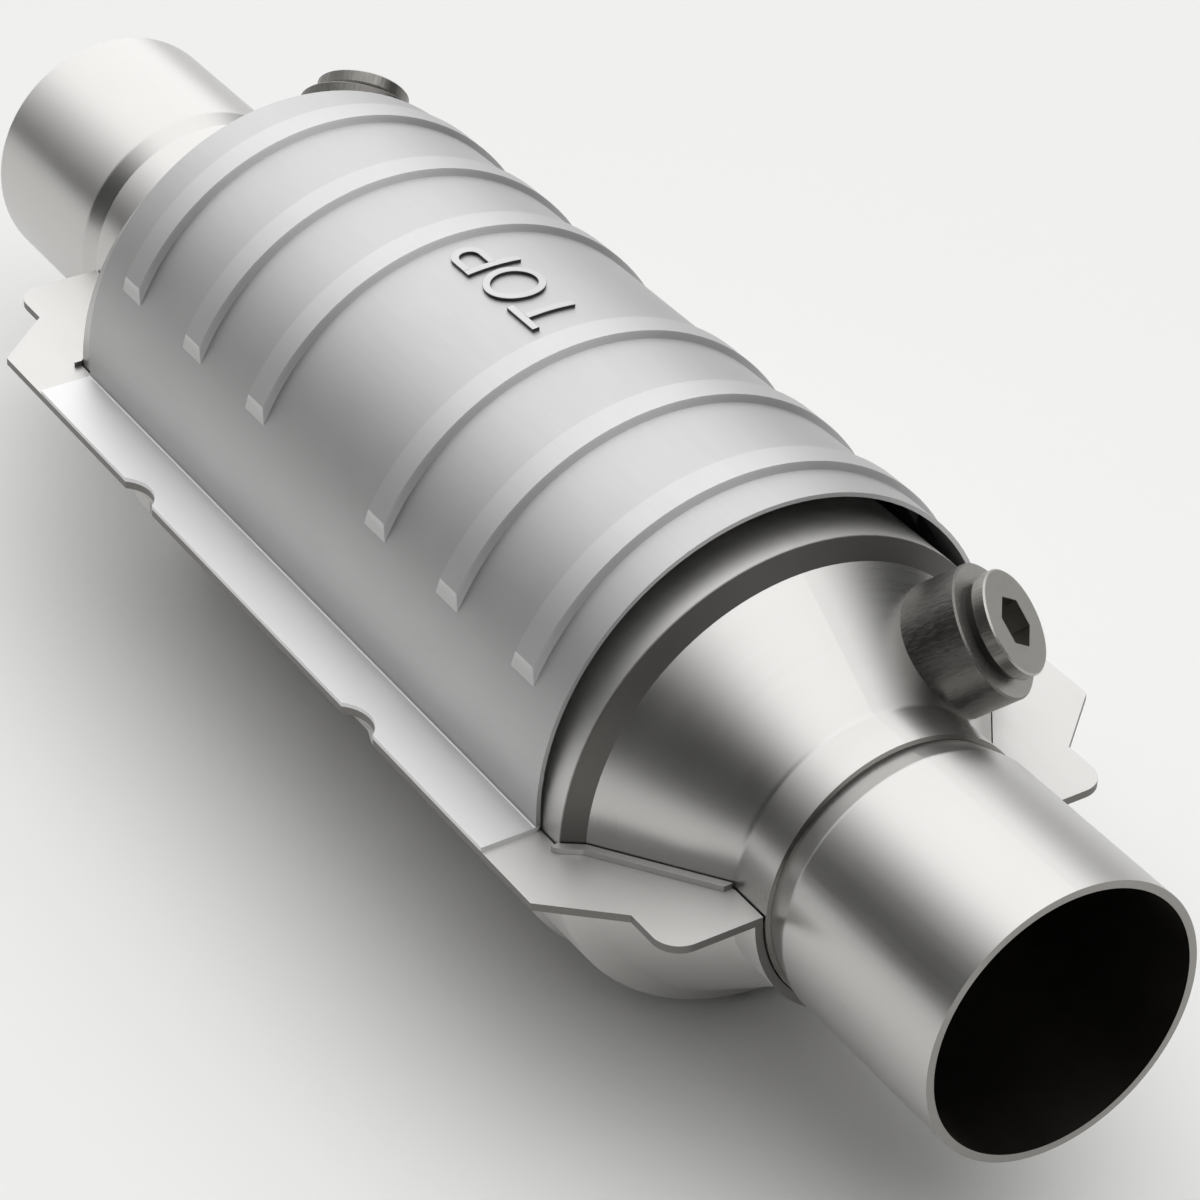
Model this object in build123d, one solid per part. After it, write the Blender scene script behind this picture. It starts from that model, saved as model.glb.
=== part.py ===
from build123d import *
from build123d import SkipClean
import math
import os

# Catalytic converter: a round can with two cones and two pipe ends, inside a heat shield pressed in two
# halves. The origin is the centre of the inlet pipe's open end, X runs along the gas flow and Z points to the
# top side. All sizes are in millimetres. Profiles are lists of (station, radius), and a station is counted
# along X from the middle of the can, so that both ends follow the same values.

# Pipe ends
pipe_radius = 31.75
pipe_wall = 1.75
pipe_length = 47.5
swage_gap = 0.1
swage_length = 6.4
swage_round = 1.0
pipe_insert = 9.0

# Can, cones and necks
can_radius = 54.0
can_wall = 1.5
can_half_length = 107.8
can_edge_round = 0.5
roll_length = 3.0
roll_drop = 4.3
cone_length = 25.6
cone_wall = 1.2
neck_radius = 31.3
neck_length = 11.0
neck_round = 2.0
weld_fit = 0.05

# Catalyst bricks, their mats and the wire rings at the mats' ends
mat_thickness = 6.0
brick_length = 85.0
brick_spacing = 18.0
brick_edge = 0.8
mat_fit = 0.05
mat_end_margin = 1.5
seal_width = 5.0

# Sensor bosses and their plugs, on the +Y side of each cone
boss_radius = 14.7
boss_height = 10.6
boss_bevel = 0.4
boss_angle = 46.3
boss_shift = 0.4
boss_root = 8.0
thread_radius = 9.0
thread_fit = 0.1
gas_hole_margin = 0.6
plug_head_radius = 11.4
plug_head_height = 3.3
plug_reach = 9.4
plug_lead = 1.0
head_bevel = 0.35
socket_across_flats = 10.0
socket_depth = 4.6
socket_turn = 44.5
washer_width = 1.2
washer_height = 1.7

# Heat shield
shield_gap = 0.3
lower_sheet = 1.8
upper_sheet = 1.0
flange_plane = 1.1
flange_half_width = 68.0
upper_half_length = 101.0
dome_gap = 0.3
dome_centre_height = 5.0
bend_radius = 0.4
neck_bend = 1.0
lip_height = 1.3
neck_end_setback = 0.5
ear_length = 13.7
ear_half_width = 53.2
ear_taper = 13.3
ear_round = 6.0
notch_station = 50.4
notch_radius = 9.0
notch_depth = 3.0

# Ribs, three towards each end of each half of the shield
rib_first = 26.8
rib_pitch = 30.0
ribs_per_end = 3
rib_height = 1.4
rib_foot = 8.8
rib_crest = 6.6
rib_end_slope = 4.5
rib_end_angle = 24.5
rib_root = 0.5

# Stations and radii that follow from the sizes above
roll_end = can_half_length + roll_length
mouth_radius = can_radius - roll_drop
cone_end = roll_end + cone_length
neck_end = cone_end + neck_length
swage_start = neck_end + swage_gap
pipe_start = swage_start + swage_length
half_length = pipe_start + pipe_length
can_inside = can_radius - can_wall
brick_radius = can_inside - mat_thickness
stub_radius = neck_radius - cone_wall - weld_fit
dome_radius = can_radius + dome_gap + upper_sheet
cone_angle = math.atan2(mouth_radius - neck_radius, cone_length)
brick_centre = (brick_spacing + brick_length) / 2
rib_stations = [side * (rib_first + i * rib_pitch) for side in (-1, 1) for i in range(ribs_per_end)]
panel_joints = [rib_first + (i - 0.5) * rib_pitch for i in range(ribs_per_end)]

can_profile = [(0, can_radius), (can_half_length, can_radius), (roll_end, mouth_radius)]
cone_profile = [(roll_end, mouth_radius), (cone_end, neck_radius), (neck_end, neck_radius)]


def both_ends(profile):
    """A profile that starts at station 0, continued as its mirror image on the inlet side."""
    return [(-x, r) for x, r in reversed(profile[1:])] + profile[1:]


def parallel(profile, distance):
    """The profile moved sideways, outwards for a positive distance. Its ends keep their stations."""
    headings = [math.atan2(b[1] - a[1], b[0] - a[0]) for a, b in zip(profile, profile[1:])]
    moved = [(profile[0][0], profile[0][1] + distance / math.cos(headings[0]))]
    for before, after, (x, r) in zip(headings, headings[1:], profile[1:]):
        middle = (before + after) / 2
        reach = distance / math.cos((after - before) / 2)
        moved.append((x - reach * math.sin(middle), r + reach * math.cos(middle)))
    moved.append((profile[-1][0], profile[-1][1] + distance / math.cos(headings[-1])))
    return moved


def turned(outline, rounds):
    """A solid of revolution about X from a closed outline, with one rounding radius for each corner."""
    edge = FilletPolyline([(x, 0, r) for x, r in outline], radius=rounds, close=True)
    return revolve(make_face(edge), Axis.X, 360, clean=False)


def pipe_wall_solid(outer, inner, outer_rounds, inner_rounds):
    """A turned wall between two profiles, rounded at the corners between their ends."""
    rounds = [0, *outer_rounds, 0, 0, *reversed(inner_rounds), 0]
    return turned(outer + inner[::-1], rounds)


def filled(profile, rounds):
    """The solid of revolution from the axis out to a profile."""
    outline = [(profile[0][0], 0), *profile, (profile[-1][0], 0)]
    return turned(outline, [0, 0, *rounds, 0, 0])


def ring(start, end, inner_radius, outer_radius):
    """A plain tube along X between two stations."""
    outline = [(start, inner_radius), (end, inner_radius), (end, outer_radius), (start, outer_radius)]
    return turned(outline, [0] * 4)


def make_can():
    outer = both_ends(can_profile)
    return pipe_wall_solid(outer, parallel(outer, -can_wall), [can_edge_round] * 2, [0] * 2)


def boss_plane():
    """The plane that touches the outlet cone where the boss stands, with its normal along the boss."""
    across = cone_length / 2 + boss_shift * math.cos(cone_angle)
    station = roll_end + across
    radius = mouth_radius - across * math.tan(cone_angle)
    turn = math.radians(boss_angle)
    outward = Vector(0, math.cos(turn), math.sin(turn))
    origin = outward * radius + Vector(station, 0, 0)
    normal = outward * math.cos(cone_angle) + Vector(math.sin(cone_angle), 0, 0)
    slope = Vector(math.cos(cone_angle), 0, 0) - outward * math.sin(cone_angle)
    return Plane(origin=origin, x_dir=slope, z_dir=normal)


def along_boss(low, high, radius):
    """A round bar about the boss's axis, between two heights over the cone."""
    return boss_plane() * Pos(0, 0, (low + high) / 2) * Cylinder(radius, high - low)


def make_outlet_cone():
    inner = parallel(cone_profile, -cone_wall)
    cone = pipe_wall_solid(cone_profile, inner, [neck_round], [neck_round + cone_wall])
    hole_radius = thread_radius + gas_hole_margin
    return cone - along_boss(-boss_root, boss_height, hole_radius)


def make_outlet_pipe():
    stub = [(neck_end - pipe_insert, stub_radius), (swage_start, stub_radius)]
    outer = stub + [(pipe_start, pipe_radius), (half_length, pipe_radius)]
    inner = parallel(outer, -pipe_wall)
    tight = swage_round
    wide = swage_round + pipe_wall
    return pipe_wall_solid(outer, inner, [tight, wide], [wide, tight])


def make_outlet_boss():
    blank = along_boss(-boss_root, boss_height, boss_radius)
    top = boss_plane().from_local_coords((0, 0, boss_height))
    rim = blank.edges().filter_by(GeomType.CIRCLE).sort_by_distance(top)[0]
    blank = chamfer(rim, boss_bevel)
    body = filled(can_profile[:2] + cone_profile, [can_edge_round, 0, neck_round])
    bore = along_boss(-boss_root, boss_height, thread_radius + thread_fit)
    return blank - body - bore


def make_outlet_washer():
    inner = thread_radius + thread_fit
    top = boss_height + washer_height
    return along_boss(boss_height, top, inner + washer_width) - along_boss(boss_height, top, inner)


def make_outlet_plug():
    seat = boss_height + washer_height
    top = seat + plug_head_height
    head = boss_plane() * Pos(0, 0, (seat + top) / 2) * Cylinder(plug_head_radius, plug_head_height)
    head = chamfer(head.edges().filter_by(GeomType.CIRCLE), head_bevel)
    shank = along_boss(boss_height - plug_reach, seat, thread_radius)
    tip = shank.edges().filter_by(GeomType.CIRCLE).sort_by_distance(boss_plane().origin)[0]
    shank = chamfer(tip, plug_lead)
    hexagon = RegularPolygon(socket_across_flats / 2, 6, major_radius=False, rotation=socket_turn)
    socket = boss_plane() * Pos(0, 0, top - socket_depth) * extrude(hexagon, socket_depth)
    return head + shank - socket


def make_brick(centre):
    brick = Pos(centre, 0, 0) * Rot(0, 90, 0) * Cylinder(brick_radius, brick_length)
    return chamfer(brick.edges().filter_by(GeomType.CIRCLE), brick_edge)


def make_mat(centre):
    reach = brick_length / 2 - mat_end_margin - seal_width
    return ring(centre - reach, centre + reach, brick_radius + mat_fit, can_inside - mat_fit)


def make_seal(centre, side):
    far = centre + side * (brick_length / 2 - mat_end_margin)
    near = far - side * seal_width
    return ring(min(near, far), max(near, far), brick_radius + mat_fit, can_inside - mat_fit)


def rib_bar(surface_radius, station, inset):
    """One rib: a flat-topped ridge on a round surface about X, from one side to the other over the top.

    The inset makes it narrower and shorter, for the hollow that the press leaves on the sheet's other side.
    """
    foot = rib_foot / 2 - inset
    crest = rib_crest / 2 - inset
    low = surface_radius - rib_root
    high = surface_radius + rib_height
    half = [(crest, high), (foot, surface_radius), (foot, low)]
    outline = [(-x, r) for x, r in reversed(half)] + half
    section = make_face(Polyline([(station + x, 0, r) for x, r in outline], close=True))
    end_angle = rib_end_angle + math.degrees(inset / surface_radius)
    start = Rot(end_angle - 90, 0, 0) * section
    bar = revolve(start, Axis.X, 180 - 2 * end_angle)
    for side in (-1, 1):
        angle = math.radians(end_angle)
        corner = (station, side * high * math.cos(angle), high * math.sin(angle))
        edge = bar.edges().sort_by_distance(corner)[0]
        face = bar.faces().filter_by(GeomType.PLANE).sort_by_distance((station, corner[1], corner[2]))[0]
        bar = chamfer(edge, rib_height + rib_root / 2, rib_end_slope, reference=face)
    return bar


def all_ribs(surface_radius, inset):
    return [rib_bar(surface_radius, station, inset) for station in rib_stations]


def rib_inset(sheet):
    """How much narrower the hollow under a rib is on each side, for a sheet of even thickness."""
    side_angle = math.atan2(rib_height, (rib_foot - rib_crest) / 2)
    return sheet * math.tan(side_angle / 2)


def flange_notches():
    centre = flange_half_width + notch_radius - notch_depth
    blank = Pos(0, 0, flange_plane) * Cylinder(notch_radius, 4 * (lower_sheet + upper_sheet))
    places = [(x, y) for x in (-notch_station, notch_station) for y in (-centre, centre)]
    return [Pos(x, y) * blank for x, y in places]


def dome_section(radius, low):
    """A round arch on short straight sides, from the height low up to its crown."""
    sides = Pos(0, (low + dome_centre_height) / 2) * Rectangle(2 * radius, dome_centre_height - low)
    arch = Pos(0, dome_centre_height) * Circle(radius)
    below = Pos(0, dome_centre_height - radius) * Rectangle(4 * radius, 2 * radius)
    return arch - below + sides


def bent(section, height, half_width, radius):
    """The section with its two corners at one height rounded, one on each side of the middle."""
    corners = [section.vertices().sort_by_distance((y, height, 0))[0] for y in (-half_width, half_width)]
    return fillet(corners, radius)


def run_along(section):
    """The section, drawn across the can, made into a bar along the upper shield's length, panel by panel."""
    ends = panel_joints + [upper_half_length]
    stations = [-x for x in reversed(ends)] + ends
    panels = []
    for start, stop in zip(stations, stations[1:]):
        across = Plane(origin=(start, 0, 0), x_dir=(0, 1, 0), z_dir=(1, 0, 0))
        panels.append(across * extrude(section, stop - start))
    return panels[0] + panels[1:]


def make_upper_shield():
    top = flange_plane + upper_sheet
    inner_radius = dome_radius - upper_sheet
    flange = Pos(0, (flange_plane + top) / 2) * Rectangle(2 * flange_half_width, upper_sheet)
    outside = bent(dome_section(dome_radius, flange_plane) + flange, top, dome_radius, bend_radius)
    beneath = Pos(0, flange_plane - dome_radius) * Rectangle(4 * flange_half_width, 2 * dome_radius)
    inside = dome_section(inner_radius, flange_plane) + beneath
    inside = bent(inside, flange_plane, inner_radius, bend_radius + upper_sheet)
    lift = Pos(0, 0, dome_centre_height)
    # The faces stay divided between the ribs, so that each one is short and meshes truly
    with SkipClean():
        skin = run_along(outside) + [lift * bar for bar in all_ribs(dome_radius, 0)]
        hollow = run_along(inside) + [lift * bar for bar in all_ribs(inner_radius, rib_inset(upper_sheet))]
        return skin - hollow - flange_notches()


def flange_plan():
    """The lower flange seen from above: straight sides, tapered ends and four round-cornered ears."""
    end = neck_end - neck_end_setback
    corner = end - ear_length
    taper = corner - ear_taper
    quarter = [(taper, flange_half_width), (corner, ear_half_width), (end, ear_half_width)]
    side = [(-x, y) for x, y in reversed(quarter)] + quarter
    points = side + [(x, -y) for x, y in reversed(side)]
    rounds = [ear_round, 0, 0, 0, 0, ear_round] * 2
    return make_face(FilletPolyline(points, radius=rounds, close=True))


def make_lower_shield():
    end = neck_end - neck_end_setback
    along_can = [(x, can_radius) for x in [0, *panel_joints, can_half_length]]
    body = both_ends(along_can + cone_profile[:-1] + [(end, neck_radius)])
    plain = [0] * (2 * len(panel_joints))
    reach = shield_gap + lower_sheet
    inner_rounds = [neck_bend + lower_sheet, 0, can_edge_round + shield_gap]
    outer_rounds = [neck_bend, 0, can_edge_round + reach]
    under = Rot(180, 0, 0)
    skin_radius = can_radius + reach
    hollow_radius = can_radius + shield_gap
    depth = 2 * skin_radius
    below = Pos(0, 0, flange_plane - depth / 2) * Box(2 * end, 2 * depth, depth)
    lip_block = Box(cone_end - can_half_length, 2 * depth, 2 * lip_height)
    lip_centre = (cone_end + can_half_length) / 2
    lips = [Pos(x, 0, flange_plane) * lip_block for x in (-lip_centre, lip_centre)]
    flange = Pos(0, 0, flange_plane - lower_sheet) * extrude(flange_plan(), lower_sheet)
    # The faces stay divided between the ribs here too
    with SkipClean():
        skin = filled(parallel(body, reach), outer_rounds + plain + outer_rounds[::-1])
        skin = skin + [under * bar for bar in all_ribs(skin_radius, 0)]
        hollow = filled(parallel(body, shield_gap), inner_rounds + plain + inner_rounds[::-1])
        hollow = hollow + [under * bar for bar in all_ribs(hollow_radius, rib_inset(lower_sheet))]
        return (skin & (below + lips)) + flange - hollow - flange_notches()


def export(name, shape):
    export_step(Pos(half_length, 0, 0) * shape, f"parts/{name}.step")


def export_pair(name, outlet_shape):
    """The piece at the outlet end and its mirror image at the inlet end."""
    export(f"outlet_{name}", outlet_shape)
    export(f"inlet_{name}", mirror(outlet_shape, Plane.YZ))


os.makedirs("parts", exist_ok=True)
export("upper_heat_shield", make_upper_shield())
export("lower_heat_shield", make_lower_shield())
export("converter_can", make_can())
export_pair("cone", make_outlet_cone())
export_pair("pipe", make_outlet_pipe())
export_pair("sensor_boss", make_outlet_boss())
export_pair("plug_washer", make_outlet_washer())
export_pair("sensor_plug", make_outlet_plug())
for place, centre in (("front", -brick_centre), ("rear", brick_centre)):
    export(f"{place}_catalyst_brick", make_brick(centre))
    export(f"{place}_support_mat", make_mat(centre))
    for end_name, side in (("inlet_side", -1), ("outlet_side", 1)):
        export(f"{place}_mat_seal_{end_name}", make_seal(centre, side))
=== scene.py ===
import math

import bpy
import numpy as np
from mathutils import Matrix, Vector


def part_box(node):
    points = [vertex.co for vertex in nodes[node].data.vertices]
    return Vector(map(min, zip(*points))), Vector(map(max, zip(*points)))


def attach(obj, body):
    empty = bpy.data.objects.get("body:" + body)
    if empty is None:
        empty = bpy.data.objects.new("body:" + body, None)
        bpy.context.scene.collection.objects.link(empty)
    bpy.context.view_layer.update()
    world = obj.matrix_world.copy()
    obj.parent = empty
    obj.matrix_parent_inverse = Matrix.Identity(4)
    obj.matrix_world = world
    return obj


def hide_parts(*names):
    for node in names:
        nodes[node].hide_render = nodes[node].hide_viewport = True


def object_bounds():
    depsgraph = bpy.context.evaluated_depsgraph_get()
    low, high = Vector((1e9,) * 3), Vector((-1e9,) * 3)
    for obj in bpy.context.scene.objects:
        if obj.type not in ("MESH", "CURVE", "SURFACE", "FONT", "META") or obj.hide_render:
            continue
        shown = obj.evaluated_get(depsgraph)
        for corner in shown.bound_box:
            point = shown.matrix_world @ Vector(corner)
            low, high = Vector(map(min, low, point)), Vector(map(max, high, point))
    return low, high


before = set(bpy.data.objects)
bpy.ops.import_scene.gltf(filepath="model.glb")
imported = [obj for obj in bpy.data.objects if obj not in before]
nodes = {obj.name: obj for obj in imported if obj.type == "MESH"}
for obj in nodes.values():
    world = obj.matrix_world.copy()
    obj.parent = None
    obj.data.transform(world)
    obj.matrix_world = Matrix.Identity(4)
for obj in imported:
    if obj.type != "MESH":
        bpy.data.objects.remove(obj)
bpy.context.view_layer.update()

MM = 0.001

# Where the CAD puts things, in millimetres: the middle of the can, the round top of the upper shield, the
# top of the lower shield's flange and the thickness of its sheet, and the outlet's sensor boss, by its axis
# and its foot on the cone, whose X is counted from the middle of the can
CAN_MIDDLE = 201.4
DOME_RADIUS = 55.3
DOME_CENTRE_HEIGHT = 5.0
FLANGE_TOP = 1.1
FLANGE_SHEET = 1.8
BOSS_FOOT = Vector((123.92, 27.82, 29.11))
BOSS_AXIS = Vector((0.5837, 0.5609, 0.5870))


# Meshes

# How many points a full ring has
RING_POINTS = 96


def new_piece(name, points, faces, material, smooth_angle=None):
    """A mesh object from points in millimetres. It rides on the root body and sits at the origin."""
    mesh = bpy.data.meshes.new(name)
    mesh.from_pydata(np.asarray(points) * MM, [], faces)
    mesh.validate()
    if smooth_angle is not None:
        mesh.shade_smooth()
        mesh.set_sharp_from_angle(angle=math.radians(smooth_angle))
    mesh.materials.append(material)
    piece = bpy.data.objects.new(name, mesh)
    bpy.context.scene.collection.objects.link(piece)
    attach(piece, "root")
    return piece


def grid_faces(rows, columns, wrap_rows=False, wrap_columns=False):
    """The quads of a grid of rows x columns points, numbered row by row, open or joined up at its ends."""
    i = np.arange(rows if wrap_rows else rows - 1)[:, None]
    j = np.arange(columns if wrap_columns else columns - 1)[None, :]
    below, beside = (i + 1) % rows, (j + 1) % columns
    corners = [i * columns + j, i * columns + beside, below * columns + beside, below * columns + j]
    return np.stack(np.broadcast_arrays(*corners), -1).reshape(-1, 4)


# Materials

# The sockets of a Mix node for its two colours, and the output for the mixed one. They go by number, because
# they share their names with its other sockets
COLOUR_A = 6
COLOUR_B = 7
MIXED_COLOUR = 2

# A face is cut off square where its normal's X, without its sign, has passed from the first to the second
CUT_OFF = (0.96, 0.99)


def linear(hex_colour):
    """An sRGB hex colour as the linear RGBA that Blender's sockets take."""
    channels = [int(hex_colour[i:i + 2], 16) / 255 for i in (1, 3, 5)]
    return [c / 12.92 if c <= 0.04045 else ((c + 0.055) / 1.055) ** 2.4 for c in channels] + [1.0]


def add(tree, kind, inputs=None, **settings):
    """Adds a shader node with its settings and links, and returns its outputs.

    An input is a value, or another node's output, which is linked.
    """
    node = tree.nodes.new("ShaderNode" + kind)
    for key, value in settings.items():
        setattr(node, key, value)
    for key, value in (inputs or {}).items():
        if isinstance(value, bpy.types.NodeSocket):
            tree.links.new(value, node.inputs[key])
        else:
            node.inputs[key].default_value = value
    return node.outputs


def new_finish(name, colour, metallic, roughness):
    """A material whose shader has these constant values. Returns the material, its tree and its shader."""
    material = bpy.data.materials.new(name)
    material.use_nodes = True
    tree = material.node_tree
    shader = tree.nodes["Principled BSDF"]
    shader.inputs["Base Color"].default_value = linear(colour)
    shader.inputs["Metallic"].default_value = metallic
    shader.inputs["Roughness"].default_value = roughness
    return material, tree, shader


def noise_at(tree, place, size_mm, detail=2.0, stretch=(1, 1, 1)):
    """Noise whose grains are about size_mm across, drawn out along an axis where stretch is under 1."""
    scale = [s / (size_mm * MM) for s in stretch]
    placed = add(tree, "Mapping", {"Vector": place, "Scale": scale})["Vector"]
    return add(tree, "TexNoise", {"Vector": placed, "Scale": 1.0, "Detail": detail})["Fac"]


def spread(tree, noise, low, high):
    """A noise's grey, which is about 0.3 to 0.7, stretched to run between two values."""
    inputs = {"Value": noise, "From Min": 0.3, "From Max": 0.7, "To Min": low, "To Max": high}
    return add(tree, "MapRange", inputs)["Result"]


def tint(tree, shader, factor, colour_a, colour_b):
    """Gives the shader a base colour between two, by a factor that varies over the surface."""
    inputs = {"Factor": factor, COLOUR_A: linear(colour_a), COLOUR_B: linear(colour_b)}
    tree.links.new(add(tree, "Mix", inputs, data_type="RGBA")[MIXED_COLOUR], shader.inputs["Base Color"])


def blend_over(tree, shader, value, start, end, colour):
    """Blends the shader's tinted base colour into another, where a value runs from start to end."""
    factor = add(tree, "MapRange", {"Value": value, "From Min": start, "From Max": end})["Result"]
    base = shader.inputs["Base Color"]
    inputs = {"Factor": factor, COLOUR_A: base.links[0].from_socket, COLOUR_B: linear(colour)}
    tree.links.new(add(tree, "Mix", inputs, data_type="RGBA")[MIXED_COLOUR], base)


def roughen(tree, shader, fine, fine_range, broad, broad_range):
    """Gives the shader a roughness that is the sum of two noises, each spread over its own range."""
    inputs = {0: spread(tree, fine, *fine_range), 1: spread(tree, broad, *broad_range)}
    tree.links.new(add(tree, "Math", inputs)["Value"], shader.inputs["Roughness"])


def raise_by(tree, shader, pattern, depth_mm):
    """Raises the surface by a pattern of 0 to 1 that stands for depth_mm."""
    inputs = {"Height": pattern, "Distance": depth_mm * MM, "Strength": 1.0}
    tree.links.new(add(tree, "Bump", inputs)["Normal"], shader.inputs["Normal"])


def distance_from_axis(tree, place):
    """The distance from the X axis through the origin of these coordinates."""
    across = add(tree, "VectorMath", {0: place, 1: (0, 1, 1)}, operation="MULTIPLY")["Vector"]
    return add(tree, "VectorMath", {0: across}, operation="LENGTH")["Value"]


def facing_out(tree, place):
    """How squarely a surface faces away from the X axis of these coordinates: 1 outwards and -1 inwards."""
    across = add(tree, "VectorMath", {0: place, 1: (0, 1, 1)}, operation="MULTIPLY")["Vector"]
    away = add(tree, "VectorMath", {0: across}, operation="NORMALIZE")["Vector"]
    inputs = {0: away, 1: add(tree, "TexCoord")["Normal"]}
    return add(tree, "VectorMath", inputs, operation="DOT_PRODUCT")["Value"]


def facing_along(tree):
    """How squarely a surface faces along X, towards either end: 1 on faces that are cut off square."""
    normal = add(tree, "TexCoord")["Normal"]
    along = add(tree, "SeparateXYZ", {"Vector": normal})["X"]
    return add(tree, "Math", {0: along}, operation="ABSOLUTE")["Value"]


def round_the_axis(tree, place, arc_radius_mm):
    """Coordinates (x, arc length round the X axis at a stated radius, distance from the axis).

    The angle is counted from the top, so its seam is underneath.
    """
    x, y, z = add(tree, "SeparateXYZ", {"Vector": place})
    angle = add(tree, "Math", {0: y, 1: z}, operation="ARCTAN2")["Value"]
    arc = add(tree, "Math", {0: angle, 1: arc_radius_mm * MM}, operation="MULTIPLY")["Value"]
    return add(tree, "CombineXYZ", {"X": x, "Y": arc, "Z": distance_from_axis(tree, place)})["Vector"]


def from_middle(tree):
    """How far along X a place is from the middle of the can: under 0 towards the inlet."""
    x = add(tree, "SeparateXYZ", {"Vector": add(tree, "TexCoord")["Object"]})["X"]
    return add(tree, "Math", {0: x, 1: CAN_MIDDLE * MM}, operation="SUBTRACT")["Value"]


def distance_from_middle(tree):
    """How far along X a place is from the middle of the can, towards either end."""
    return add(tree, "Math", {0: from_middle(tree)}, operation="ABSOLUTE")["Value"]


def boss_facing(tree):
    """How squarely a surface faces out along its boss's axis: 1 on the flat faces and 0 on the sides."""
    end = add(tree, "Math", {0: from_middle(tree)}, operation="SIGN")["Value"]
    x, y, z = add(tree, "SeparateXYZ", {"Vector": add(tree, "TexCoord")["Normal"]})
    along = add(tree, "Math", {0: x, 1: end}, operation="MULTIPLY")["Value"]
    mirrored = add(tree, "CombineXYZ", {"X": along, "Y": y, "Z": z})["Vector"]
    return add(tree, "VectorMath", {0: mirrored, 1: BOSS_AXIS}, operation="DOT_PRODUCT")["Value"]


def boss_place(tree):
    """Coordinates (height over the cone, and two across) of either boss, each the other's mirror image."""
    _, y, z = add(tree, "SeparateXYZ", {"Vector": add(tree, "TexCoord")["Object"]})
    mirrored = add(tree, "CombineXYZ", {"X": distance_from_middle(tree), "Y": y, "Z": z})["Vector"]
    from_foot = add(tree, "VectorMath", {0: mirrored, 1: BOSS_FOOT * MM}, operation="SUBTRACT")["Vector"]
    side = BOSS_AXIS.cross(Vector((1, 0, 0))).normalized()
    axes = {"X": BOSS_AXIS, "Y": side, "Z": BOSS_AXIS.cross(side)}
    inputs = {}
    for letter, axis in axes.items():
        inputs[letter] = add(tree, "VectorMath", {0: from_foot, 1: axis}, operation="DOT_PRODUCT")["Value"]
    return add(tree, "CombineXYZ", inputs)["Vector"]


def from_dome_axis(tree):
    """The place on the object, counted from the axis of the upper shield's dome."""
    inputs = {0: add(tree, "TexCoord")["Object"], 1: (0, 0, DOME_CENTRE_HEIGHT * MM)}
    return add(tree, "VectorMath", inputs, operation="SUBTRACT")["Vector"]


def pressed_sheet(name, colours, roughness):
    """Stainless sheet pressed in a die: soft broad highlights, a faint grain along the sheet, and slightly
    duller patches. Also returns the material's tree and shader."""
    material, tree, shader = new_finish(name, colours[0], metallic=1.0, roughness=roughness)
    place = add(tree, "TexCoord")["Object"]
    # The rolling grain is about 0.1 mm apart on the real sheet; it is drawn 0.5 mm apart so that it shows
    grain = noise_at(tree, place, 0.5, stretch=(0.03, 1, 1))
    rubbed = noise_at(tree, place, 22, detail=4)
    roughen(tree, shader, grain, (-0.02, 0.02), rubbed, (roughness - 0.02, roughness + 0.03))
    tint(tree, shader, rubbed, *colours)
    raise_by(tree, shader, grain, 0.001)
    return material, tree, shader


def satin_pressed_sheet():
    """The upper shield's satin sheet. The crests of its ribs, over 56 mm from the dome's axis, are a little
    brighter, a painted highlight, and its flat flanges, below the dome, are brighter still, also a painted
    highlight."""
    material, tree, shader = pressed_sheet("satin_pressed_sheet", ("#BDBDBD", "#C3C3C3"), 0.5)
    from_axis = distance_from_axis(tree, from_dome_axis(tree))
    # Painted highlight: the ribs' crests are lighter than the skin between them.
    blend_over(tree, shader, from_axis, (DOME_RADIUS + 0.7) * MM, (DOME_RADIUS + 1.3) * MM, "#C9C9C9")
    # Painted highlight: the flat flanges below the dome are lighter than the dome.
    height = add(tree, "SeparateXYZ", {"Vector": add(tree, "TexCoord")["Object"]})["Z"]
    blend_over(tree, shader, height, (FLANGE_TOP + 1.4) * MM, (FLANGE_TOP + 1.1) * MM, "#DCDCDC")
    return material


def embossed_letter_sheet():
    """The satin sheet where it is embossed with the word: a little brighter, with the letters' steep walls
    painted dark, a painted shade."""
    material, tree, shader = pressed_sheet("embossed_letter_sheet", ("#C3C3C3", "#C9C9C9"), 0.5)
    # Painted shade: the letters' steep walls are darkened.
    blend_over(tree, shader, facing_out(tree, from_dome_axis(tree)), 0.5, 0.2, "#4E4D4B")
    return material


def bright_pressed_sheet():
    """The lower shield's brighter stainless sheet, painted a darker grey on its sheared edges as painted
    shade: at its ends and at the edge of its flange, where the surface is upright and lies between the
    flange's two faces."""
    material, tree, shader = pressed_sheet("bright_pressed_sheet", ("#CCCBC9", "#D2D1CF"), 0.5)
    source = add(tree, "TexCoord")
    rise = add(tree, "SeparateXYZ", {"Vector": source["Normal"]})["Z"]
    height = add(tree, "SeparateXYZ", {"Vector": source["Object"]})["Z"]
    inputs = {0: height, 1: (FLANGE_TOP - FLANGE_SHEET / 2) * MM}
    above_middle = add(tree, "Math", inputs, operation="SUBTRACT")["Value"]
    limits = [(rise, 0.06, 0.03), (above_middle, (FLANGE_SHEET / 2 + 0.1) * MM, FLANGE_SHEET / 2 * MM)]
    edge = 1.0
    for value, outside, inside in limits:
        size = add(tree, "Math", {0: value}, operation="ABSOLUTE")["Value"]
        inputs = {"Value": size, "From Min": outside, "From Max": inside, "To Max": edge}
        edge = add(tree, "MapRange", inputs)["Result"]
    # Painted shade: the flange's edge and the square-cut ends are painted a darker grey.
    blend_over(tree, shader, edge, 0, 1, "#7C7A77")
    blend_over(tree, shader, facing_along(tree), *CUT_OFF, "#7C7A77")
    return material


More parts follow.
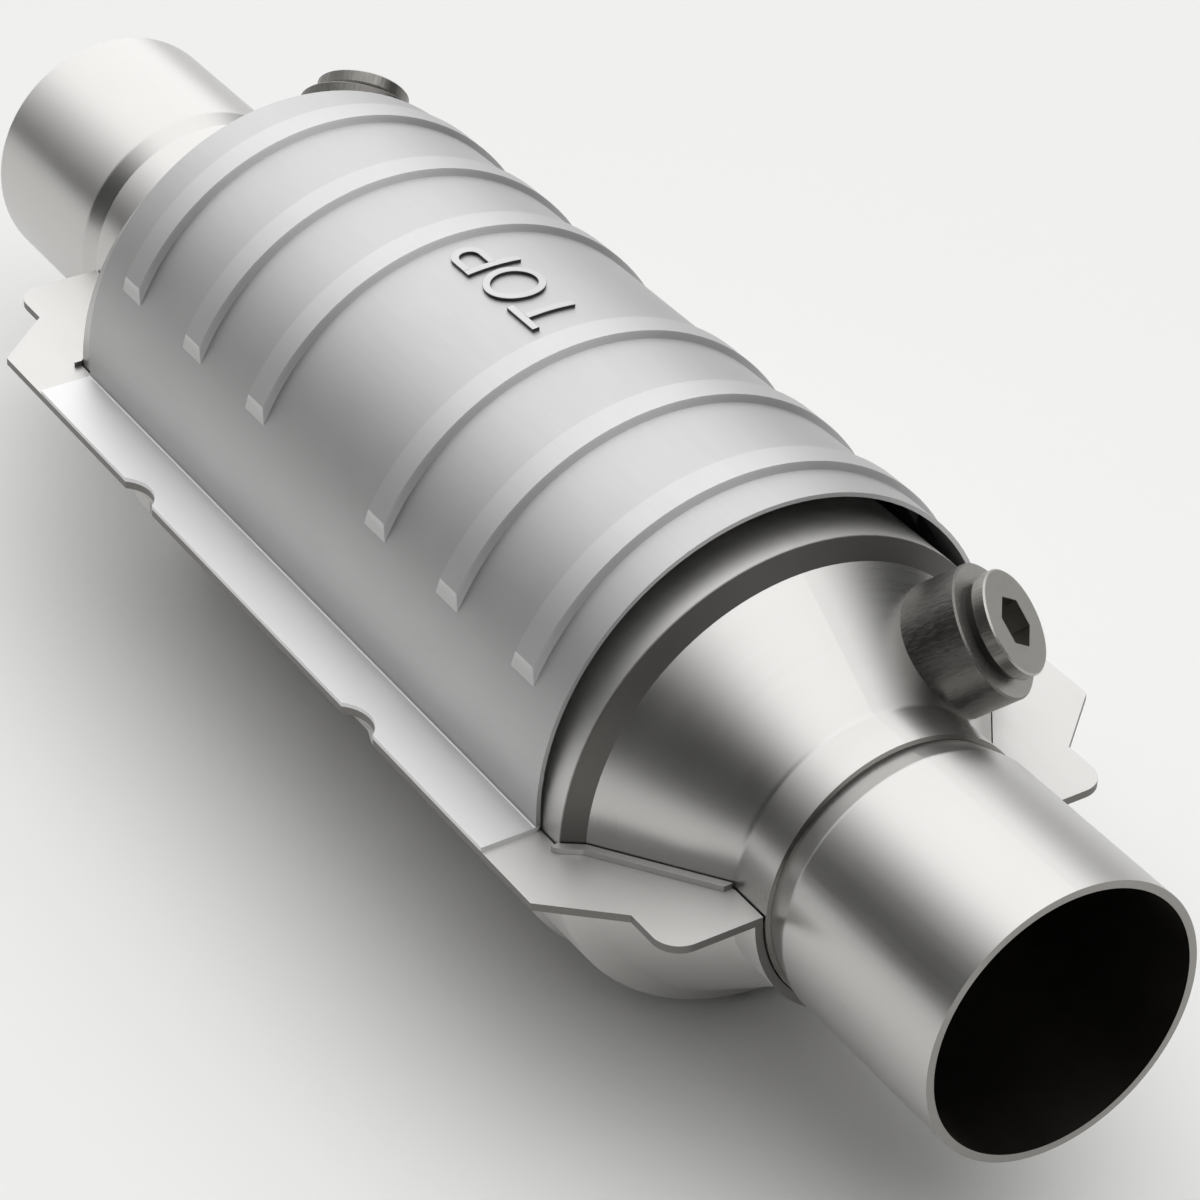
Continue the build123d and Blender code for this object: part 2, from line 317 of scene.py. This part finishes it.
def round_the_axis_finish(name, colours, roughness, line_stretch):
    """Bare stainless, worked round or along the X axis: fine lines and soft patches change the sheen."""
    material, tree, shader = new_finish(name, colours[0], metallic=1.0, roughness=roughness)
    place = round_the_axis(tree, add(tree, "TexCoord")["Object"], arc_radius_mm=40)
    # The real lines are a few hundredths of a millimetre apart; they are drawn 1 mm apart so that they show
    lines = noise_at(tree, place, 1.0, stretch=line_stretch)
    patches = noise_at(tree, place, 18, detail=3)
    roughen(tree, shader, lines, (-0.012, 0.012), patches, (roughness - 0.015, roughness + 0.015))
    tint(tree, shader, patches, *colours)
    return material, tree, shader


def spun_stainless():
    """Stainless steel spun over a former: bright, with faint rings left round the axis by the roller. The
    sheared ends of the necks are painted a darker grey, a painted shade."""
    colours = ("#C1C0BE", "#C7C6C4")
    material, tree, shader = round_the_axis_finish("spun_stainless", colours, 0.29, (1, 0.02, 1))
    # Painted shade: the necks' square-cut ends are painted a darker grey.
    blend_over(tree, shader, facing_along(tree), *CUT_OFF, "#94928E")
    return material


def rolled_stainless_sheet():
    """Stainless sheet rolled into the can, with its duller mill surface. From 107.5 mm each side of the
    can's middle, its rolled-in ends are painted darker, a painted shade."""
    colours = ("#D2D1CF", "#D8D7D5")
    material, tree, shader = round_the_axis_finish("rolled_stainless_sheet", colours, 0.46, (1, 0.02, 1))
    # Painted shade: the rolled-in ends of the can are darkened.
    blend_over(tree, shader, distance_from_middle(tree), 107.4 * MM, 107.9 * MM, "#6C6A67")
    return material


def drawn_stainless_tube():
    """Welded stainless tube, drawn to size: fine lines along it and a soft bright highlight. Its bore, where
    the surface faces the axis, is painted darker, a painted shade, and its sawn ends are painted a darker
    grey, also painted shade."""
    colours = ("#C1C0BE", "#C7C6C4")
    material, tree, shader = round_the_axis_finish("drawn_stainless_tube", colours, 0.30, (0.02, 1, 1))
    place = add(tree, "TexCoord")["Object"]
    # Painted shade: the bore, facing the axis, is darkened.
    blend_over(tree, shader, facing_out(tree, place), -0.3, -0.7, "#8F8C87")
    # Painted shade: the sawn ends are painted a darker grey.
    blend_over(tree, shader, facing_along(tree), *CUT_OFF, "#94928E")
    return material


def forged_steel():
    """Steel bung cut from forged bar: dark grey, with a shallow skin that is drawn out along the bar, and a
    brighter face, turned flat for the washer and lightened further as painted light against the shade under
    the plug's head."""
    material, tree, shader = new_finish("forged_steel", "#73716E", metallic=1.0, roughness=0.4)
    place = round_the_axis(tree, boss_place(tree), arc_radius_mm=14)
    skin = noise_at(tree, place, 0.5, detail=5, stretch=(0.25, 1, 1))
    tree.links.new(spread(tree, skin, 0.34, 0.46), shader.inputs["Roughness"])
    tint(tree, shader, spread(tree, skin, 0, 1), "#6A6865", "#7C7A77")
    # Partly painted light: the turned face is lighter than the forged skin, and lighter still to offset the
    # shade under the plug's head.
    blend_over(tree, shader, boss_facing(tree), 0.97, 0.99, "#BAB8B4")
    raise_by(tree, shader, skin, 0.08)
    return material


def turned_steel():
    """Plain steel plug: mid grey, with a smooth turned head and a rim painted darker as painted shade, drawn
    with lines along it.
    """
    material, tree, shader = new_finish("turned_steel", "#B0AEA9", metallic=1.0, roughness=0.36)
    place = round_the_axis(tree, boss_place(tree), arc_radius_mm=11)
    marks = noise_at(tree, place, 0.45, detail=4, stretch=(0.12, 1, 0.5))
    tree.links.new(spread(tree, marks, 0.32, 0.44), shader.inputs["Roughness"])
    tint(tree, shader, marks, "#A9A7A2", "#B7B5B0")
    # Painted shade: the plug's sides, away from its flat faces, are darkened, unevenly along the drawn
    # lines.
    drawn = spread(tree, marks, 0.7, 1)
    inputs = {"Value": boss_facing(tree), "From Min": 0.6, "From Max": 0.3, "To Max": drawn}
    blend_over(tree, shader, add(tree, "MapRange", inputs)["Result"], 0, 1, "#7A7874")
    raise_by(tree, shader, marks, 0.05)
    return material


def dark_soft_steel():
    """Soft steel sealing ring: almost black, a painted shade for the gap under the plug's head, with a dull
    shine.
    """
    # Painted shade: the ring is coloured almost black.
    material, tree, shader = new_finish("dark_soft_steel", "#3A3937", metallic=1.0, roughness=0.5)
    mottle = noise_at(tree, add(tree, "TexCoord")["Object"], 1.5, detail=3)
    tree.links.new(spread(tree, mottle, 0.42, 0.6), shader.inputs["Roughness"])
    tint(tree, shader, mottle, "#2E2D2C", "#454442")
    return material


def washcoated_ceramic():
    """Cordierite honeycomb under its washcoat: matt, brownish grey, a little uneven."""
    material, tree, shader = new_finish("washcoated_ceramic", "#A39884", metallic=0.0, roughness=0.9)
    place = add(tree, "TexCoord")["Object"]
    tint(tree, shader, noise_at(tree, place, 7, detail=4), "#93876F", "#B4AA98")
    raise_by(tree, shader, noise_at(tree, place, 0.3), 0.02)
    return material


def ceramic_fibre_mat():
    """Pressed ceramic fibre: off-white, matt and felted."""
    material, tree, shader = new_finish("ceramic_fibre_mat", "#D8D4C8", metallic=0.0, roughness=0.95)
    fibres = noise_at(tree, add(tree, "TexCoord")["Object"], 1.2, detail=6, stretch=(0.2, 1, 1))
    tint(tree, shader, fibres, "#C9C4B6", "#E4E1D8")
    raise_by(tree, shader, fibres, 0.3)
    return material


def knitted_wire():
    """Rope knitted from 0.25 mm stainless wire and pressed flat: small crowns with a painted highlight and
    gaps with painted shade.
    """
    material, tree, shader = new_finish("knitted_wire", "#9C9A94", metallic=1.0, roughness=0.35)
    place = round_the_axis(tree, add(tree, "TexCoord")["Object"], arc_radius_mm=40)
    loop_size = 0.8 * MM
    placed = add(tree, "Mapping", {"Vector": place, "Scale": [1 / loop_size] * 3})["Vector"]
    loops = add(tree, "TexVoronoi", {"Vector": placed, "Scale": 1.0})["Distance"]
    # Painted highlight and shade: lighter on the loops' crowns, dark in the gaps between them.
    tint(tree, shader, loops, "#A8A6A0", "#4A4843")
    raise_by(tree, shader, loops, -0.2)
    return material


satin = satin_pressed_sheet()
embossed = embossed_letter_sheet()
bright = bright_pressed_sheet()
spun = spun_stainless()
rolled = rolled_stainless_sheet()
tube = drawn_stainless_tube()
forged = forged_steel()
turned = turned_steel()
dark_ring = dark_soft_steel()
ceramic = washcoated_ceramic()
mat = ceramic_fibre_mat()
wire = knitted_wire()

finish_by_ending = {
    "upper_heat_shield": satin, "lower_heat_shield": bright, "can": rolled, "cone": spun, "pipe": tube,
    "sensor_boss": forged, "sensor_plug": turned, "plug_washer": dark_ring, "brick": ceramic,
    "support_mat": mat, "inlet_side": wire, "outlet_side": wire,
}
for name, node in nodes.items():
    finish = next(f for ending, f in finish_by_ending.items() if name.endswith(ending))
    for material_slot in node.material_slots:
        material_slot.material = finish


# The raised word on the upper shield

# In millimetres: the letters' height over the dome, their root below its surface, the bevel along their
# tops, and the width of their bars and stems
LETTER_HEIGHT = 0.8
LETTER_ROOT = 0.3
LETTER_EDGE = 0.08
BAR = 1.65
STEM = 1.85

# How many points the bowl of the P has along its half circle and along each of its straights
HALF_RING_POINTS = 40
STRAIGHT_POINTS = 5


def raised_stroke(centre, across, widths, closed=False):
    """A letter's stroke, raised on the dome: a bevelled rectangle carried along a path.

    centre is the path and across its sideways directions, as (x, arc) pairs. x runs along the shield from
    its middle and arc runs round it from the top. A profile point at width w and height h lies at
    (x, (R + h) sin(arc / R), (R + h) cos(arc / R)), with the heights counted from the dome's surface.
    """
    half = np.asarray(widths, float)[:, None] / 2
    inward = np.array([0, 0, LETTER_EDGE, LETTER_EDGE, 0, 0])
    side = np.array([-1, -1, -1, 1, 1, 1])
    height = np.array([-LETTER_ROOT, LETTER_HEIGHT - LETTER_EDGE, LETTER_HEIGHT,
                       LETTER_HEIGHT, LETTER_HEIGHT - LETTER_EDGE, -LETTER_ROOT])
    reach = side * (half - inward)
    flat = centre[:, None, :] + reach[:, :, None] * across[:, None, :]
    radius = DOME_RADIUS + np.broadcast_to(height, reach.shape)
    turn = flat[..., 1] / DOME_RADIUS
    points = np.stack([CAN_MIDDLE + flat[..., 0], radius * np.sin(turn),
                       DOME_CENTRE_HEIGHT + radius * np.cos(turn)], -1).reshape(-1, 3)
    corners = len(height)
    faces = grid_faces(len(centre), corners, wrap_rows=closed, wrap_columns=True).tolist()
    if not closed:
        last = len(points) - corners
        faces += [list(range(corners))[::-1], [last + k for k in range(corners)]]
    return points, faces


def straight_stroke(start, end, width):
    """A stroke along a straight line, with a point every millimetre or so."""
    start, end = np.array(start, float), np.array(end, float)
    count = max(2, int(np.linalg.norm(end - start)) + 1)
    centre = start + np.linspace(0, 1, count)[:, None] * (end - start)
    along = (end - start) / np.linalg.norm(end - start)
    across = np.tile([-along[1], along[0]], (count, 1))
    return raised_stroke(centre, across, np.full(count, width))


def oval_stroke(centre, outer, inner):
    """A closed ring between two ovals: its middle line is their mean, and its width their difference."""
    angle = np.linspace(0, 2 * np.pi, RING_POINTS, endpoint=False)[:, None]
    ray = np.hstack([np.cos(angle), np.sin(angle)])
    outside, inside = ray * outer, ray * inner
    gap = outside - inside
    width = np.linalg.norm(gap, axis=1)
    middle = np.array(centre) + (outside + inside) / 2
    return raised_stroke(middle, gap / width[:, None], width, closed=True)


def bowl_stroke(start_x, top, bottom, outer_x, inner_x):
    """The bowl of a P: out along the top, round a half circle and back, towards -X. Outer and inner edges
    are each a straight and a half circle, and the stroke runs midway between them."""
    outer_radius = (bottom - top) / 2
    inner_radius = outer_radius - BAR
    middle = (top + bottom) / 2
    angle = np.linspace(-np.pi / 2, np.pi / 2, HALF_RING_POINTS)
    arc = np.stack([-np.cos(angle), np.sin(angle)], -1)
    outer_turn = np.array([outer_x + outer_radius, middle]) + outer_radius * arc
    inner_turn = np.array([inner_x + inner_radius, middle]) + inner_radius * arc
    run = np.linspace(0, 1, STRAIGHT_POINTS, endpoint=False)[:, None]
    edges = []
    for turn in (outer_turn, inner_turn):
        leave, back = (np.array([start_x, end[1]]) * (1 - run) + end * run for end in (turn[0], turn[-1]))
        edges.append(np.vstack([leave, turn, back[::-1]]))
    outer_edge, inner_edge = edges
    gap = outer_edge - inner_edge
    width = np.linalg.norm(gap, axis=1)
    return raised_stroke((outer_edge + inner_edge) / 2, gap / width[:, None], width)


def letters():
    """TOP, read towards -X with the letters' heads towards -Y. Places are from the middle of the can."""
    half_height = 6.6
    bar_middle = BAR / 2 - half_height
    t_start, t_stem, t_end = 18.85, 13.5, 8.2
    o_middle, o_outside, o_inside = 0.25, (6.65, 6.9), (4.75, 5.3)
    p_stem, bowl_bottom, bowl_outside, bowl_inside = -8.97, 1.25, -18.4, -16.4
    strokes = {
        "T": [straight_stroke((t_start, bar_middle), (t_end, bar_middle), BAR),
              straight_stroke((t_stem, BAR - half_height), (t_stem, half_height), STEM)],
        "O": [oval_stroke((o_middle, 0), o_outside, o_inside)],
        "P": [straight_stroke((p_stem, -half_height), (p_stem, half_height), STEM),
              bowl_stroke(p_stem - STEM / 2, -half_height, bowl_bottom, bowl_outside, bowl_inside)],
    }
    for letter, parts in strokes.items():
        points, faces = [], []
        for part_points, part_faces in parts:
            faces += [[i + len(points) for i in face] for face in part_faces]
            points += part_points.tolist()
        new_piece(f"raised_letter_{letter}", points, faces, embossed, smooth_angle=35)


letters()


# Honeycomb bricks

# In millimetres: from cell to cell, the walls between cells, how deep the open cells go, and the plain rim
CELL_PITCH = 1.27
CELL_WALL = 0.24
CELL_DEPTH = 9.0
BRICK_RIM = 0.9


def honeycomb_brick(node, name, front):
    """The brick with its outer face opened into square cells, 400 to the square inch.

    A cup, turned about X, holds a lattice. Each cell is a frame of four quads between its pitch square and
    its opening, and four walls down to the cup's floor. front, -1 or 1, is the side along X that the cells
    face.
    """
    low, high = (np.array(corner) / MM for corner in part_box(node))
    radius = (high[2] - low[2]) / 2
    face_x, back_x = (high[0], low[0]) if front > 0 else (low[0], high[0])
    floor_x = face_x - front * CELL_DEPTH
    profile = np.array([[back_x, 0], [back_x, radius], [face_x, radius], [face_x, radius - BRICK_RIM],
                        [floor_x, radius - BRICK_RIM], [floor_x, 0]])
    angle = np.linspace(0, 2 * np.pi, RING_POINTS, endpoint=False)
    ring = np.stack([np.zeros_like(angle), np.cos(angle), np.sin(angle)], -1)
    cup = profile[:, None, 0:1] * [1, 0, 0] + profile[:, None, 1:2] * ring
    cup_faces = grid_faces(len(profile), len(angle), wrap_columns=True)

    reach = int(radius / CELL_PITCH) + 1
    steps = np.arange(-reach, reach + 1) * CELL_PITCH
    cells = np.stack(np.meshgrid(steps, steps), -1).reshape(-1, 2)
    corners = np.array([[-1, -1], [1, -1], [1, 1], [-1, 1]]) / 2
    farthest = np.linalg.norm(cells[:, None] + corners * CELL_PITCH, axis=-1).max(1)
    cells = cells[farthest < radius - BRICK_RIM]
    opening = CELL_PITCH - CELL_WALL
    outer = cells[:, None] + corners * CELL_PITCH
    inner = cells[:, None] + corners * opening
    levels = [(outer, face_x), (inner, face_x), (inner, floor_x)]
    lattice = np.concatenate([np.concatenate([np.full((*c.shape[:2], 1), x), c], -1) for c, x in levels], 1)
    sides = len(corners)
    turn = np.arange(sides)
    after = (turn + 1) % sides
    frame_quads = np.stack([turn, after, after + sides, turn + sides], -1)
    wall_quads = frame_quads + sides
    cell_faces = np.vstack([frame_quads, wall_quads])
    first_corner = len(profile) * len(angle) + np.arange(len(cells)) * len(levels) * sides
    lattice_faces = (first_corner[:, None, None] + cell_faces).reshape(-1, 4)
    points = np.vstack([cup.reshape(-1, 3), lattice.reshape(-1, 3)])
    if front > 0:
        cup_faces = cup_faces[:, ::-1]
    else:
        lattice_faces = lattice_faces[:, ::-1]
    faces = np.vstack([cup_faces, lattice_faces]).tolist()
    brick = new_piece(name, points, faces, ceramic)
    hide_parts(node)


honeycomb_brick("front_catalyst_brick", "front_honeycomb", -1)
honeycomb_brick("rear_catalyst_brick", "rear_honeycomb", 1)


# Stage, light and camera

def floor():
    """A plain pale floor at the object's lowest point."""
    material, _, _ = new_finish("matt_studio_floor", "#F2F2F1", metallic=0.0, roughness=0.9)
    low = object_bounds()[0]
    far = 60.0
    corners = [(x, y, low[2]) for x, y in ((-far, -far), (far, -far), (far, far), (-far, far))]
    mesh = bpy.data.meshes.new("studio_floor")
    mesh.from_pydata(corners, [], [(0, 1, 2, 3)])
    mesh.materials.append(material)
    ground = bpy.data.objects.new("studio_floor", mesh)
    bpy.context.scene.collection.objects.link(ground)


def studio_light(wall, box, backdrop):
    """An almost dark room with a soft box overhead, which leans towards -X, and a dimmer backdrop.

    The box is where the direction lies in a wide cone about the lean and, across it, near enough to the XZ
    plane. The backdrop is a low band behind the object, as the camera sees it. The light is wall, plus each
    panel's share.
    """
    world = bpy.data.worlds.new("studio")
    bpy.context.scene.world = world
    world.use_nodes = True
    tree = world.node_tree
    direction = add(tree, "TexCoord")["Generated"]
    _, y, z = add(tree, "SeparateXYZ", {"Vector": direction})
    cosines = []
    for towards in ((-0.31, 0, 0.95), (-0.80, 0.60, 0.10)):
        inputs = {0: direction, 1: Vector(towards).normalized()}
        cosines.append(add(tree, "VectorMath", inputs, operation="DOT_PRODUCT")["Value"])
    lean, behind = cosines
    # Each panel's strength and its soft edges: the value across the edge, where it is dark and where lit
    panels = [(box, [(lean, 0.22, 0.50), (y, -0.74, -0.12), (y, 0.92, 0.50)]),
              (backdrop, [(behind, 0.70, 0.92), (z, 0.32, 0.12)])]
    light = wall
    for share, edges in panels:
        for value, dark_at, lit_at in edges:
            inputs = {"Value": value, "From Min": dark_at, "From Max": lit_at, "To Max": share}
            share = add(tree, "MapRange", inputs, interpolation_type="SMOOTHSTEP")["Result"]
        light = add(tree, "Math", {0: light, 1: share}, operation="ADD")["Value"]
    background = tree.nodes["Background"]
    background.inputs["Color"].default_value = linear("#FFFFFF")
    tree.links.new(light, background.inputs["Strength"])


def camera():
    """The photograph's viewing angle: seen from an azimuth of 58 and an elevation of 34 degrees.

    The aim, distance, focal length and small roll were fitted to points of the object.
    """
    azimuth, elevation, roll = math.radians(57.722), math.radians(34.401), math.radians(0.724)
    aim, distance = Vector((237.61, 0, -0.49)) * MM, 870.95 * MM
    focal_pixels, image_pixels = 4016.7, 1200
    back = Vector((math.sin(azimuth) * math.cos(elevation), -math.cos(azimuth) * math.cos(elevation),
                   math.sin(elevation)))
    lens = bpy.data.cameras.new("camera")
    lens.lens = focal_pixels / image_pixels * lens.sensor_width
    lens.clip_start, lens.clip_end = 0.01, 200.0
    holder = bpy.data.objects.new("camera", lens)
    turn = back.to_track_quat("Z", "Y").to_matrix().to_4x4() @ Matrix.Rotation(roll, 4, "Z")
    holder.matrix_world = Matrix.Translation(aim + distance * back) @ turn
    bpy.context.scene.collection.objects.link(holder)
    bpy.context.scene.camera = holder


floor()
studio_light(wall=0.05, box=1.57, backdrop=0.62)
camera()
bpy.context.scene.view_settings.view_transform = "Standard"
